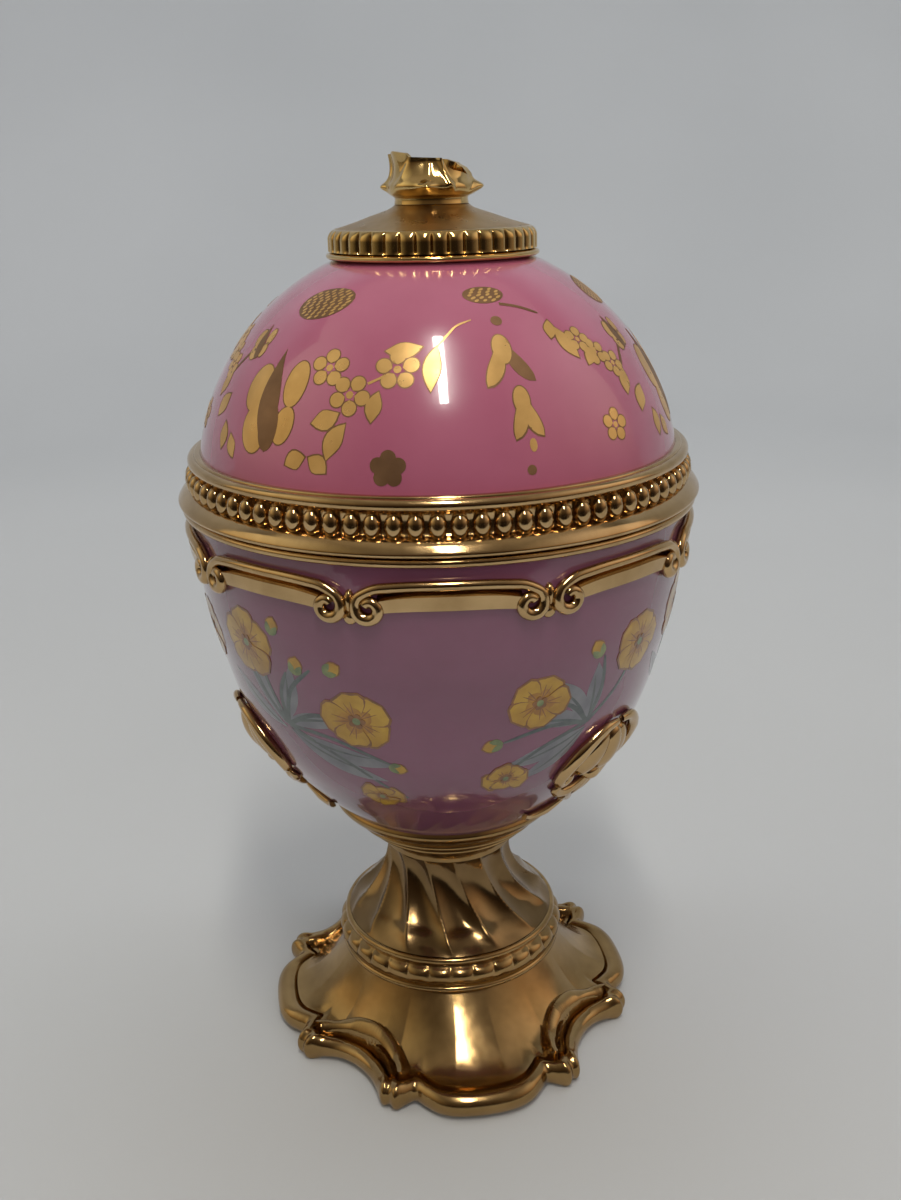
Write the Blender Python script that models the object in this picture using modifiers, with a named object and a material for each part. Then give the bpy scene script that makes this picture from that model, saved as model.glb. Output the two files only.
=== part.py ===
"""Porcelain trinket box: an egg on a gilt pedestal, with a domed lid that lifts off.

Lengths are in millimetres and become metres as each mesh is made. The origin is the
centre of the foot on the table, +Z is up and the front faces -Y. A bearing is an angle
about +Z from the front, positive towards +X.
"""

from math import cos, hypot, pi, radians, sin, sqrt

import bmesh
import bpy

MM = 0.001
GAP = 0.3                 # left between pieces that touch
WIDE_STEPS = 40           # sides of the shells, which nest in one another
STEPS = 32                # sides of the smaller turned pieces
FINE_STEPS = 24           # sides of the hidden hardware

# Lid: an elliptic dome of porcelain
DOME_RADIUS = 42.6
DOME_RISE = 41.9          # from the equator to the tip of the full ellipse
DOME_EQUATOR_Z = 110.0
DOME_WALL = 3.2
SEAM_Z = 108.75           # lid underside
COLLAR_TOP_Z = 117.3
COLLAR_RADIUS = 46.4
FLANGE_OUTER = 40.6       # locating flange that drops into the bowl
FLANGE_INNER = 38.2
FLANGE_Z = 104.3
LID_SEAT_Z = 149.1        # flat on the dome under the finial
LID_SEAT_RADIUS = 15.5
LID_CEILING_Z = 145.7     # flat inside the dome for the washer

# Finial
DISC_RADIUS = 18.2
DISC_RIM_Z = 148.6
DISC_TOP_Z = 157.0
CROWN_TOP_Z = 165.4
CROWN_WALL = 1.4
CROWN_PETALS = 6
STUD_RADIUS = 1.5
STUD_HOLE = 1.9

# Cup
RIM_Z = SEAM_Z - GAP
BOWL_RADIUS = 44.0
MOUTH_RADIUS = 41.0
BAND_RADIUS = 45.9
BAND_HEIGHT = 1.35
BOWL_FLOOR_Z = 48.0
BOWL_BASE_Z = 42.8
BOWL_END = (22.2, 48.9)   # where the porcelain meets the neck ring
SWAG_COUNT = 9
SWAG_BEARING = 2.0        # middle of the front swag
SWAG_THICKNESS = 1.5
ORNAMENT_BEARINGS = {"left": -70.0, "right": 50.0, "back": 170.0}
ORNAMENT_THICKNESS = 1.5

# Pedestal
NECK_RING_TOP_Z = 48.6
NECK_RING_BASE_Z = 37.7
NECK_LEDGE_Z = 41.4
STEM_TOP_Z = 37.4
STEM_BASE_Z = 21.5
STEM_WALL = 3.0
FLUTES = 14
FLUTE_DEPTH = 0.7
FLUTE_TWIST = 24.0        # degrees turned from the neck to the knop
KNOP_TOP_Z = 21.2
KNOP_BASE_Z = 14.2
FOOT_SHOULDER_Z = 13.9
FOOT_BOSS_Z = 18.0
FOOT_BOSS_RADIUS = 12.8
LOBE_RADIUS = 38.2
LOBE_STRETCH = 1.7        # the foot is a little longer from front to back
LOBE_BEARING = 9.0
LOBES = 4
BAY_DEPTH = 5.0
BAY_HALF_ANGLE = 18.0

# Tie rod through the pedestal, M6
ROD_RADIUS = 3.0
ROD_HOLE = 3.4
ROD_BASE_Z = 7.6
ROD_TOP_Z = 55.5
FOOT_NUT_Z = 9.0
FOOT_CEILING_Z = 14.8

PINK = ((0.62, 0.16, 0.27), 0.08, 0.0)
LAVENDER = ((0.36, 0.18, 0.31), 0.08, 0.0)
GILT = ((0.60, 0.38, 0.12), 0.15, 1.0)
STEEL = ((0.55, 0.55, 0.56), 0.30, 1.0)
FELT = ((0.06, 0.05, 0.05), 0.90, 0.0)


def clear_scene():
    for obj in list(bpy.data.objects):
        bpy.data.objects.remove(obj, do_unlink=True)


def new_collection(name):
    collection = bpy.data.collections.new(name)
    bpy.context.scene.collection.children.link(collection)
    return collection


def finish_material(name, finish):
    colour, roughness, metallic = finish
    material = bpy.data.materials.new(name)
    material.use_nodes = True
    shader = material.node_tree.nodes["Principled BSDF"]
    shader.inputs["Base Color"].default_value = (*colour, 1.0)
    shader.inputs["Roughness"].default_value = roughness
    shader.inputs["Metallic"].default_value = metallic
    return material


def add_object(name, mesh, finish, collection, parent=None):
    obj = bpy.data.objects.new(name, mesh)
    mesh.materials.append(finish_material(name, finish))
    collection.objects.link(obj)
    obj.parent = parent
    return obj


def smooth_line(points, per_span=2):
    """A Catmull-Rom curve through the points."""
    ends = [points[0], *points, points[-1]]
    line = []
    for a, b, c, d in zip(ends, ends[1:], ends[2:], ends[3:]):
        for step in range(per_span):
            t = step / per_span
            line.append(tuple(
                0.5 * (2 * q + (r - p) * t + (2 * p - 5 * q + 4 * r - s) * t * t
                       + (3 * q - p - 3 * r + s) * t ** 3)
                for p, q, r, s in zip(a, b, c, d)
            ))
    return [*line, tuple(points[-1])]


def radius_at(line, z):
    """Radius of a profile line at height z."""
    for (r0, z0), (r1, z1) in zip(line, line[1:]):
        if min(z0, z1) <= z <= max(z0, z1) and z0 != z1:
            return r0 + (r1 - r0) * (z - z0) / (z1 - z0)
    return line[-1][0]


def turned(name, profile, finish, collection, parent=None, steps=STEPS):
    """A closed profile of (radius, height), run down its outer side, turned about Z."""
    mesh = bpy.data.meshes.new(name)
    corners = [(r * MM, 0.0, z * MM) for r, z in profile]
    edges = [(i, (i + 1) % len(corners)) for i in range(len(corners))]
    mesh.from_pydata(corners, edges, [])
    obj = add_object(name, mesh, finish, collection, parent)
    screw = obj.modifiers.new("Turn", "SCREW")
    screw.steps = steps
    screw.render_steps = steps
    screw.use_merge_vertices = True
    screw.merge_threshold = 0.00001
    screw.use_smooth_shade = True
    return obj


def at_bearing(radius, bearing, z):
    angle = radians(bearing)
    return radius * sin(angle) * MM, -radius * cos(angle) * MM, z * MM


def lofted(name, section, steps, finish, collection, parent=None):
    """A ring whose closed (radius, height) section changes with its bearing."""
    shape = bmesh.new()
    rings = []
    for step in range(steps):
        bearing = 360.0 * step / steps
        rings.append([shape.verts.new(at_bearing(r, bearing, z)) for r, z in section(bearing)])
    for ring, after in zip(rings, rings[1:] + rings[:1]):
        for i, corner in enumerate(ring):
            j = (i + 1) % len(ring)
            shape.faces.new((corner, ring[j], after[j], after[i]))
    return mesh_object(name, shape, finish, collection, parent)


def mesh_object(name, shape, finish, collection, parent=None):
    mesh = bpy.data.meshes.new(name)
    shape.to_mesh(mesh)
    shape.free()
    mesh.shade_smooth()
    mesh.set_sharp_from_angle(angle=radians(40))
    return add_object(name, mesh, finish, collection, parent)


def relief(name, surface, rows, columns, offset, thickness, finish, collection):
    """A raised patch that lies on a turned surface. Each row is (height, bearing, half_width)."""
    shape = bmesh.new()

    def sheet(distance):
        grid = []
        for z, bearing, half in rows:
            radius = radius_at(surface, z) + distance
            spread = half / radius / radians(1.0)
            grid.append([
                shape.verts.new(at_bearing(radius, bearing + spread * (2 * c / columns - 1), z))
                for c in range(columns + 1)
            ])
        return grid

    inner, outer = sheet(offset), sheet(offset + thickness)

    def border(grid):
        right = [row[-1] for row in grid[1:-1]]
        left = [row[0] for row in reversed(grid[1:-1])]
        return [*grid[0], *right, *reversed(grid[-1]), *left]

    for low, high in zip(range(len(rows)), range(1, len(rows))):
        for c in range(columns):
            shape.faces.new((outer[low][c], outer[low][c + 1], outer[high][c + 1], outer[high][c]))
            shape.faces.new((inner[low][c], inner[high][c], inner[high][c + 1], inner[low][c + 1]))
    inside, outside = border(inner), border(outer)
    for i, corner in enumerate(outside):
        j = (i + 1) % len(outside)
        shape.faces.new((outside[j], corner, inside[i], inside[j]))
    return mesh_object(name, shape, finish, collection)


def cylinder(name, radius, low, high, sides, finish, collection, parent=None):
    bpy.ops.mesh.primitive_cylinder_add(
        vertices=sides, radius=radius * MM, depth=(high - low) * MM,
        location=(0.0, 0.0, (low + high) / 2 * MM),
    )
    obj = bpy.context.object
    for other in list(obj.users_collection):
        other.objects.unlink(obj)
    collection.objects.link(obj)
    obj.name = name
    obj.data.name = name
    obj.data.materials.append(finish_material(name, finish))
    obj.parent = parent
    return obj


def bored(obj, radius, low, high, cutters):
    """Cuts an upright hole on the axis through a piece."""
    cutter = cylinder(obj.name + "_bore", radius, low, high, FINE_STEPS, STEEL, cutters)
    cutter.hide_render = True
    cutter.display_type = "WIRE"
    cut = obj.modifiers.new("Bore", "BOOLEAN")
    cut.operation = "DIFFERENCE"
    cut.solver = "EXACT"
    cut.object = cutter
    return obj


def nut(name, across_flats, low, high, hole, collection, cutters, parent=None):
    hexagon = cylinder(name, across_flats / sqrt(3), low, high, 6, STEEL, collection, parent)
    return bored(hexagon, hole, low - 1, high + 1, cutters)


def washer(name, hole, radius, low, high, finish, collection, parent=None):
    profile = [(radius, high), (radius, low), (hole, low), (hole, high)]
    return turned(name, profile, finish, collection, parent, FINE_STEPS)


def dome_radius(z, wall=0.0):
    """Radius of the dome's surface at a height, or of its inner side a wall deeper."""
    rise = min(max(z - DOME_EQUATOR_Z, 0.0) / (DOME_RISE - wall), 1.0)
    return (DOME_RADIUS - wall) * sqrt(1 - rise ** 2)


def dome_height(radius, wall=0.0):
    across = radius / (DOME_RADIUS - wall)
    return DOME_EQUATOR_Z + (DOME_RISE - wall) * sqrt(1 - across ** 2)


def dome_arc(low_radius, high_radius, wall=0.0, steps=8):
    """Points along the dome from its equator to a smaller radius."""
    arc = []
    for step in range(steps + 1):
        share = sin(pi / 2 * step / steps)
        radius = low_radius - (low_radius - high_radius) * (1 - sqrt(1 - share ** 2))
        arc.append((radius, dome_height(radius, wall)))
    return arc


def build_lid(parts, cutters, axis):
    inner_radius = DOME_RADIUS - DOME_WALL
    ceiling_radius = inner_radius * sqrt(
        1 - ((LID_CEILING_Z - DOME_EQUATOR_Z) / (DOME_RISE - DOME_WALL)) ** 2
    )
    outer = dome_arc(DOME_RADIUS, LID_SEAT_RADIUS)
    inner = dome_arc(inner_radius, ceiling_radius, DOME_WALL, 6)
    turned("lid_dome", [
        (STUD_HOLE, LID_SEAT_Z), (LID_SEAT_RADIUS - 0.2, LID_SEAT_Z), *reversed(outer),
        (DOME_RADIUS, SEAM_Z), (FLANGE_OUTER, SEAM_Z), (FLANGE_OUTER, FLANGE_Z + 0.6),
        (FLANGE_OUTER - 0.6, FLANGE_Z), (FLANGE_INNER, FLANGE_Z), *inner,
        (STUD_HOLE, LID_CEILING_Z),
    ], PINK, parts, axis, WIDE_STEPS)

    beside_dome = [(dome_radius(z) + GAP, z) for z in (SEAM_Z, 110.5, 113.0, 115.2, COLLAR_TOP_Z)]
    turned("lid_collar", [
        (43.6, COLLAR_TOP_Z), (44.2, 116.8), (44.0, 116.1), (44.9, 115.0), (45.4, 113.4),
        (45.2, 111.6), (46.2, 110.9), (COLLAR_RADIUS, 110.0), (46.2, 109.2), (45.4, SEAM_Z),
        *beside_dome,
    ], GILT, parts, axis, WIDE_STEPS)

    turned("finial_disc", [
        (STUD_HOLE, DISC_TOP_Z), (6.3, DISC_TOP_Z), (7.4, 156.3), (10.0, 155.4), (13.0, 154.2),
        (16.6, 153.3), (17.8, 152.5), (DISC_RADIUS - 0.1, 151.0), (DISC_RADIUS, DISC_RIM_Z + 0.6),
        (DISC_RADIUS - 0.3, DISC_RIM_Z), (LID_SEAT_RADIUS + 0.6, LID_SEAT_Z + 0.5),
        (14.0, 150.6), (STUD_HOLE, 150.6),
    ], GILT, parts, axis)
    lofted("finial_crown", crown_section, CROWN_PETALS * 5, GILT, parts, axis)
    washer("finial_gasket", STUD_HOLE + 0.4, 13.0, LID_SEAT_Z + GAP, 150.3, FELT, parts, axis)
    cylinder("finial_stud", STUD_RADIUS, 139.8, 159.4, 24, STEEL, parts, axis)
    washer("lid_washer", STUD_HOLE, 5.0, 144.5, LID_CEILING_Z - GAP, STEEL, parts, axis)
    nut("lid_nut", 5.5, 141.4, 144.2, STUD_HOLE, parts, cutters, axis)


def crown_section(bearing):
    """Petal cup of the finial: tips curl out low down and the top edge rises and falls."""
    petal = cos(radians(CROWN_PETALS * bearing))
    tip = 7.6 + 0.8 * petal
    top = CROWN_TOP_Z - 1.6 + 1.6 * cos(radians(CROWN_PETALS / 2 * (bearing + 60)))
    bore = STUD_RADIUS + GAP
    base = DISC_TOP_Z + GAP
    return [
        (6.3, top), (6.2, 162.6), (6.7, 160.8), (tip, 159.9), (tip - 0.3, 159.2), (7.0, 158.4),
        (6.6, base), (bore, base), (bore, 159.8), (0.3, 159.8), (0.3, 161.2),
        (6.2 - CROWN_WALL, 161.2), (6.3 - CROWN_WALL, top),
    ]


def bowl_outline():
    """Outside of the cup from its rim down to the neck ring."""
    return smooth_line([
        (BOWL_RADIUS, RIM_Z), (BOWL_RADIUS, 100.0), (43.0, 90.0), (40.9, 81.0), (38.3, 72.0),
        (34.2, 63.0), (28.4, 55.3), BOWL_END,
    ])


def build_cup(parts):
    outline = bowl_outline()
    inside = smooth_line([
        (10.5, BOWL_FLOOR_Z), (17.5, 50.3), (25.2, 56.6), (31.4, 64.5), (35.5, 73.5),
        (38.2, 82.5), (40.2, 92.0), (MOUTH_RADIUS, 100.0), (MOUTH_RADIUS, RIM_Z),
    ], 1)
    end_r, end_z = BOWL_END
    turned("cup_bowl", [
        *outline, (end_r - 1.3, end_z), (end_r - 1.3 - (end_z - BOWL_BASE_Z), BOWL_BASE_Z),
        (ROD_HOLE, BOWL_BASE_Z), (ROD_HOLE, BOWL_FLOOR_Z), *inside,
    ], LAVENDER, parts, steps=WIDE_STEPS)

    band_base = RIM_Z - BAND_HEIGHT
    turned("cup_rim_band", [
        (BAND_RADIUS - 0.4, RIM_Z), (BAND_RADIUS, RIM_Z - 0.4), (BAND_RADIUS, band_base + 0.5),
        (BAND_RADIUS - 0.5, band_base), (BOWL_RADIUS + GAP, band_base), (BOWL_RADIUS + GAP, RIM_Z),
    ], GILT, parts, steps=WIDE_STEPS)
    lofted("swag_frieze", swag_section, SWAG_COUNT * 10, GILT, parts)

    for side, bearing in ORNAMENT_BEARINGS.items():
        rows = [
            (50.6, bearing, 3.5), (53.5, bearing, 5.5), (56.5, bearing, 4.0), (60.0, bearing, 4.5),
            (63.5, bearing, 8.5), (67.0, bearing, 11.0), (71.0, bearing, 10.0), (74.5, bearing, 4.5),
        ]
        relief("ornament_" + side, outline, rows, 6, GAP + 0.1, ORNAMENT_THICKNESS, GILT, parts)

    washer("bowl_washer", ROD_HOLE, 8.0, BOWL_FLOOR_Z + GAP, 49.4, STEEL, parts)
    acorn = [
        (0.0, 58.0), (2.4, 57.4), (4.2, 56.0), (5.0, 54.2), (5.77, 54.0), (5.77, 49.7),
        (ROD_HOLE, 49.7), (ROD_HOLE, 56.0), (0.0, 56.0),
    ]
    turned("bowl_acorn_nut", acorn, STEEL, parts, steps=FINE_STEPS)


def swag_section(bearing):
    """The frieze at a bearing: an arched bar that dips to a pair of scrolls at each joint."""
    pitch = 360.0 / SWAG_COUNT
    turn = (bearing - SWAG_BEARING + pitch / 2) % pitch - pitch / 2
    share = abs(turn) / (pitch / 2)
    arch = share ** 3
    top = 105.2 - 4.0 * arch
    bottom = 100.2 - 1.6 * share ** 4
    middle = (top * 2 + bottom) / 3
    bulge = SWAG_THICKNESS + 0.4 * arch
    seat = [radius_at(bowl_outline(), z) + GAP for z in (top, middle, bottom)]
    return [
        (seat[0] + 0.5, top), (seat[0] + bulge, top - 0.6), (seat[1] + bulge, middle),
        (seat[2] + bulge * 0.75, bottom + 0.4), (seat[2] + 0.4, bottom), (seat[2], bottom + 0.2),
        (seat[0], top - 0.2),
    ]


def build_pedestal(parts, cutters):
    washer("neck_gasket", ROD_HOLE, 12.0, NECK_LEDGE_Z + GAP, BOWL_BASE_Z - GAP, FELT, parts)
    slope_r = BOWL_END[0] - 1.0
    ledge_r = slope_r - (NECK_RING_TOP_Z - NECK_LEDGE_Z - 0.9)
    turned("neck_ring", [
        (22.0, NECK_RING_TOP_Z), (22.3, 47.9), (21.5, 46.6), (19.9, 45.4), (18.4, 45.0),
        (18.5, 43.9), (17.6, 43.1), (16.3, 42.8), (16.4, 41.7), (15.4, 40.9), (14.0, 40.5),
        (13.2, 39.2), (12.9, NECK_RING_BASE_Z), (ROD_HOLE, NECK_RING_BASE_Z),
        (ROD_HOLE, NECK_LEDGE_Z), (ledge_r, NECK_LEDGE_Z), (ledge_r, NECK_LEDGE_Z + 0.9),
        (slope_r, NECK_RING_TOP_Z),
    ], GILT, parts)
    lofted("stem", stem_section, FLUTES * 4, GILT, parts)
    turned("knop", [
        (20.9, KNOP_TOP_Z), (21.4, 20.7), (21.2, 20.1), (22.2, 19.2), (22.7, 17.8), (22.3, 16.4),
        (21.5, 15.7), (22.1, 15.2), (22.1, 14.6), (21.6, KNOP_BASE_Z),
        (FOOT_BOSS_RADIUS + GAP, KNOP_BASE_Z), (FOOT_BOSS_RADIUS + GAP, KNOP_TOP_Z),
    ], GILT, parts)
    lofted("foot", foot_section, LOBES * 15, GILT, parts)

    washer("foot_washer", ROD_HOLE, 9.0, 13.4, FOOT_CEILING_Z - GAP, STEEL, parts)
    nut("foot_nut", 10.0, FOOT_NUT_Z, 13.1, ROD_HOLE, parts, cutters)
    cylinder("tie_rod", ROD_RADIUS, ROD_BASE_Z, ROD_TOP_Z, 24, STEEL, parts)


def stem_section(bearing):
    """The hollow bell of the stem, with spiral flutes that fade out at both ends."""
    outline = smooth_line([
        (12.6, STEM_TOP_Z), (12.3, 34.5), (12.9, 31.5), (14.3, 28.5), (16.5, 25.7),
        (18.9, 23.6), (20.5, STEM_BASE_Z),
    ], 1)
    height = STEM_TOP_Z - STEM_BASE_Z
    outside = []
    for radius, z in outline:
        down = (STEM_TOP_Z - z) / height
        swing = cos(radians(FLUTES * (bearing - FLUTE_TWIST * down)))
        outside.append((radius - FLUTE_DEPTH * sin(pi * down) * (1 - swing) / 2, z))
    return [
        *outside, (20.5 - STEM_WALL * 1.4, STEM_BASE_Z), (16.5 - STEM_WALL, 25.0),
        (14.0 - STEM_WALL, 28.5), (12.3 - STEM_WALL, 33.0), (ROD_HOLE, 34.0),
        (ROD_HOLE, STEM_TOP_Z),
    ]


def foot_edge(bearing):
    """Radius of the foot's outline: four wide lobes with a hollow bay between each two."""
    pitch = 360.0 / LOBES
    turn = abs((bearing - LOBE_BEARING + pitch / 2) % pitch - pitch / 2)
    lobe_half = pitch / 2 - BAY_HALF_ANGLE
    reach = LOBE_RADIUS + LOBE_STRETCH * cos(radians(2 * (bearing - LOBE_BEARING)))
    if turn <= lobe_half:
        return reach - 1.2 * (turn / lobe_half) ** 2
    share = (turn - lobe_half) / BAY_HALF_ANGLE
    return reach - 1.2 - BAY_DEPTH * share * share * (3 - 2 * share)


def foot_section(bearing):
    """The hollow cast foot: boss, sloping shell, rolled rim and the flat that it rests on."""
    edge = foot_edge(bearing)
    return [
        (ROD_HOLE, FOOT_BOSS_Z), (FOOT_BOSS_RADIUS, FOOT_BOSS_Z),
        (FOOT_BOSS_RADIUS, FOOT_SHOULDER_Z), (21.0, FOOT_SHOULDER_Z), (22.5, 11.8), (26.0, 8.2),
        (edge - 4.4, 4.5), (edge - 2.2, 5.1), (edge - 0.6, 4.1), (edge, 2.4),
        (edge - 1.2, 0.0), (edge - 3.8, 0.0), (edge - 5.0, 1.4),
        (24.4, 5.6), (19.5, 9.4), (10.2, 11.2), (10.0, FOOT_CEILING_Z), (ROD_HOLE, FOOT_CEILING_Z),
    ]


def build():
    clear_scene()
    parts = new_collection("porcelain_trinket_box")
    cutters = new_collection("cutters")
    lid_axis = bpy.data.objects.new("lid_lift_axis", None)
    parts.objects.link(lid_axis)
    build_lid(parts, cutters, lid_axis)
    build_cup(parts)
    build_pedestal(parts, cutters)


build()
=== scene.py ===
"""Looks for the porcelain trinket box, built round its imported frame.

Shapes are worked out in millimetres and become metres as each mesh is made. A bearing is
an angle about +Z from the front (-Y), positive towards +X; functions take it in degrees
unless they say otherwise.
"""

import bmesh
import bpy
import numpy as np
from mathutils import Matrix, Vector


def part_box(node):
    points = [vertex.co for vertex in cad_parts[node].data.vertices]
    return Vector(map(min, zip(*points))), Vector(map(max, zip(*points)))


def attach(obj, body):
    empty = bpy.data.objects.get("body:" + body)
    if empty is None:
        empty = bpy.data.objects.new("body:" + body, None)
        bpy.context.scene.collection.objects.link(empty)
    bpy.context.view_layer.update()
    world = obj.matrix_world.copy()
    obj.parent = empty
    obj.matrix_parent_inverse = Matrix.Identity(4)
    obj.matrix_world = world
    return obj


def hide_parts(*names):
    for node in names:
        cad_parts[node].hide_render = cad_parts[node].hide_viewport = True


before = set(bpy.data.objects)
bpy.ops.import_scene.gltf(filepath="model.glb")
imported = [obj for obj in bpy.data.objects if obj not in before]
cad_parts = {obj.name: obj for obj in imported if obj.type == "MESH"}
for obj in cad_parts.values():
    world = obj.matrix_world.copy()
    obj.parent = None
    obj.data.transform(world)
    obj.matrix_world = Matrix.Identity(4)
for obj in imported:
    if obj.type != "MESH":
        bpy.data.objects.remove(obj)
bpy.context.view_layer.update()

MM = 0.001
SMOOTH_ANGLE = 42.0       # degrees; sharper creases stay crisp


def low(node):
    """Height of a CAD node's lowest point, in millimetres."""
    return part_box(node)[0].z / MM


def high(node):
    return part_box(node)[1].z / MM


def reach(node):
    """Largest radius of a CAD node, in millimetres."""
    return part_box(node)[1].x / MM


# Driving sizes, read from the frame
SEAM = low("lid_collar")
COLLAR_TOP = high("lid_collar")
COLLAR_REACH = reach("lid_collar")
RIM = high("cup_bowl")
BAND_BASE = low("cup_rim_band")
BAND_REACH = reach("cup_rim_band")
BOWL_REACH = reach("cup_bowl")
CUP_BASE = low("cup_bowl")
NECK_TOP = high("neck_ring")
NECK_BASE = low("neck_ring")
STEM_TOP = high("stem")
STEM_BASE = low("stem")
KNOP_TOP = high("knop")
KNOP_BASE = low("knop")
KNOP_REACH = reach("knop")
FOOT_TOP = high("foot")
DISC_TOP = high("finial_disc")
DISC_REACH = reach("finial_disc")
CROWN_TOP = high("finial_crown")
FLANGE_LOW = low("lid_dome")

# The dome is an ellipse turned about the axis
DOME_REACH = reach("lid_dome")
DOME_EQUATOR = SEAM + 1.25
DOME_RISE = 41.9
DOME_WALL = 3.2
LID_SEAT = high("lid_dome")
LID_SEAT_REACH = 15.5
LID_CEILING = high("lid_washer") + 0.3
BOLT_HOLE = 3.4
CUP_FLOOR = low("bowl_washer") - 0.3
CUP_MOUTH = 41.0
STUD_HOLE = 1.9

# Gilt relief
BEADS = 84
RIBS = 42
PETALS = 5
SWAGS = 9
SWAG_MIDDLE = 2.0
MILLING = 32
FLUTES = 14
FLUTE_TWIST = 24.0
LOBES = 4
LOBE_MIDDLE = 9.0
LOBE_REACH = 38.2
LOBE_STRETCH = 1.7        # the foot is a little longer from front to back
ORNAMENTS = {"left": -70.0, "right": 50.0, "back": 170.0}


# ---------------- mesh building

def place(radius, bearing, height):
    """Points in metres from radii and heights in millimetres and bearings in radians."""
    radius, bearing, height = np.broadcast_arrays(radius, bearing, height)
    return np.stack([radius * np.sin(bearing), -radius * np.cos(bearing), height], -1) * MM


def smooth_line(points, per_span):
    """A Catmull-Rom curve through the points."""
    ends = np.array([points[0], *points, points[-1]], float)
    t = (np.arange(per_span) / per_span)[:, None]
    spans = [
        0.5 * (2 * b + (c - a) * t + (2 * a - 5 * b + 4 * c - d) * t ** 2
               + (3 * b - a - 3 * c + d) * t ** 3)
        for a, b, c, d in zip(ends, ends[1:], ends[2:], ends[3:])
    ]
    return np.vstack([*spans, ends[-1:]])


def arc(centre_r, centre_z, across, start, stop, count, up=None):
    """An elliptic arc in a turned profile; 0 degrees points outwards and 90 up."""
    angle = np.radians(np.linspace(start, stop, count))
    up = across if up is None else up
    return np.stack([centre_r + across * np.cos(angle), centre_z + up * np.sin(angle)], -1)


def outline(*pieces):
    """One profile from points and arcs. A point that comes twice running is kept once."""
    line = np.vstack([np.atleast_2d(np.array(piece, float)) for piece in pieces])
    moved = np.abs(np.diff(line, axis=0)).max(1) > 1e-6
    return line[np.concatenate([[True], moved])]


def finish_mesh(name, shape, materials, body, stands_for):
    """Turns a bmesh into a smooth piece that rides on a body. stands_for names its CAD nodes."""
    mesh = bpy.data.meshes.new(name)
    shape.to_mesh(mesh)
    shape.free()
    for material in materials:
        mesh.materials.append(material)
    mesh.shade_smooth()
    mesh.set_sharp_from_angle(angle=np.radians(SMOOTH_ANGLE))
    piece = bpy.data.objects.new(name, mesh)
    bpy.context.scene.collection.objects.link(piece)
    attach(piece, body)
    if stands_for:
        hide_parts(*stands_for)


def ring_bmesh(grid, second_from=None):
    """A closed ring from grid[bearing, section point]. Section points from second_from on
    take the second material."""
    shape = bmesh.new()
    count, points = grid.shape[:2]
    corners = [[shape.verts.new(p) for p in row] for row in grid.tolist()]
    for i, row in enumerate(corners):
        after = corners[(i + 1) % count]
        for j in range(points):
            k = (j + 1) % points
            face = shape.faces.new((row[j], row[k], after[k], after[j]))
            if second_from is not None and second_from <= j < points - 1:
                face.material_index = 1
    return shape


def turned(name, profile, materials, body, stands_for, second_from=None, steps=256):
    bearing = np.linspace(0, 2 * np.pi, steps, endpoint=False)[:, None]
    grid = place(profile[None, :, 0], bearing, profile[None, :, 1])
    finish_mesh(name, ring_bmesh(grid, second_from), materials, body, stands_for)


def welded(points, faces, gap):
    """A bmesh from points and faces, whose points closer than gap are joined."""
    mesh = bpy.data.meshes.new("raw")
    mesh.from_pydata(points.tolist(), [], faces.tolist())
    shape = bmesh.new()
    shape.from_mesh(mesh)
    bpy.data.meshes.remove(mesh)
    bmesh.ops.remove_doubles(shape, verts=shape.verts, dist=gap)
    return shape


class Batch:
    """Collects many small closed shapes into one mesh."""

    def __init__(self):
        self.points, self.faces, self.count = [], [], 0

    def add(self, points, faces):
        self.points.append(points.reshape(-1, 3))
        self.faces.append(faces + self.count)
        self.count += len(self.points[-1])

    def piece(self, name, material, body, stands_for=(), slot="gilt"):
        shape = welded(np.vstack(self.points), np.vstack(self.faces), 0.0000004)
        bmesh.ops.recalc_face_normals(shape, faces=shape.faces)
        finish_mesh(name, shape, [material], body, stands_for)


def sheet_faces(rows, columns):
    """Quads of a rows x columns grid of points."""
    corner = np.arange(rows * columns).reshape(rows, columns)
    return np.stack(
        [corner[:-1, :-1], corner[1:, :-1], corner[1:, 1:], corner[:-1, 1:]], -1
    ).reshape(-1, 4)


def slab(top, bottom):
    """A closed slab between two grids of points of the same shape."""
    rows, columns = top.shape[:2]
    size = rows * columns
    corner = np.arange(size).reshape(rows, columns)
    edge = np.concatenate([corner[0], corner[1:, -1], corner[-1, -2::-1], corner[-2:0:-1, 0]])
    wall = np.stack([edge, np.roll(edge, -1), np.roll(edge, -1) + size, edge + size], -1)
    faces = sheet_faces(rows, columns)
    return np.concatenate([top.reshape(-1, 3), bottom.reshape(-1, 3)]), np.vstack(
        [faces, faces[:, ::-1] + size, wall]
    )


def tube(centres, normals, radii, flat=1.0):
    """A closed tube along 3-D centres in metres. flat squashes it towards the surface."""
    sides = 14
    along = np.gradient(centres, axis=0)
    along /= np.linalg.norm(along, axis=1, keepdims=True)
    across = np.cross(along, normals)
    across /= np.linalg.norm(across, axis=1, keepdims=True)
    out = np.cross(across, along)
    turn = np.linspace(0, 2 * np.pi, sides, endpoint=False)
    ring = (
        np.cos(turn)[None, :, None] * across[:, None] * radii[:, None, None]
        + np.sin(turn)[None, :, None] * out[:, None] * radii[:, None, None] * flat
    )
    points = centres[:, None] + ring
    points = np.concatenate([
        np.repeat(centres[:1, None], sides, 1), points, np.repeat(centres[-1:, None], sides, 1)
    ])
    points = np.concatenate([points, points[:, :1]], 1)
    return points, sheet_faces(*points.shape[:2])


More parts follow.
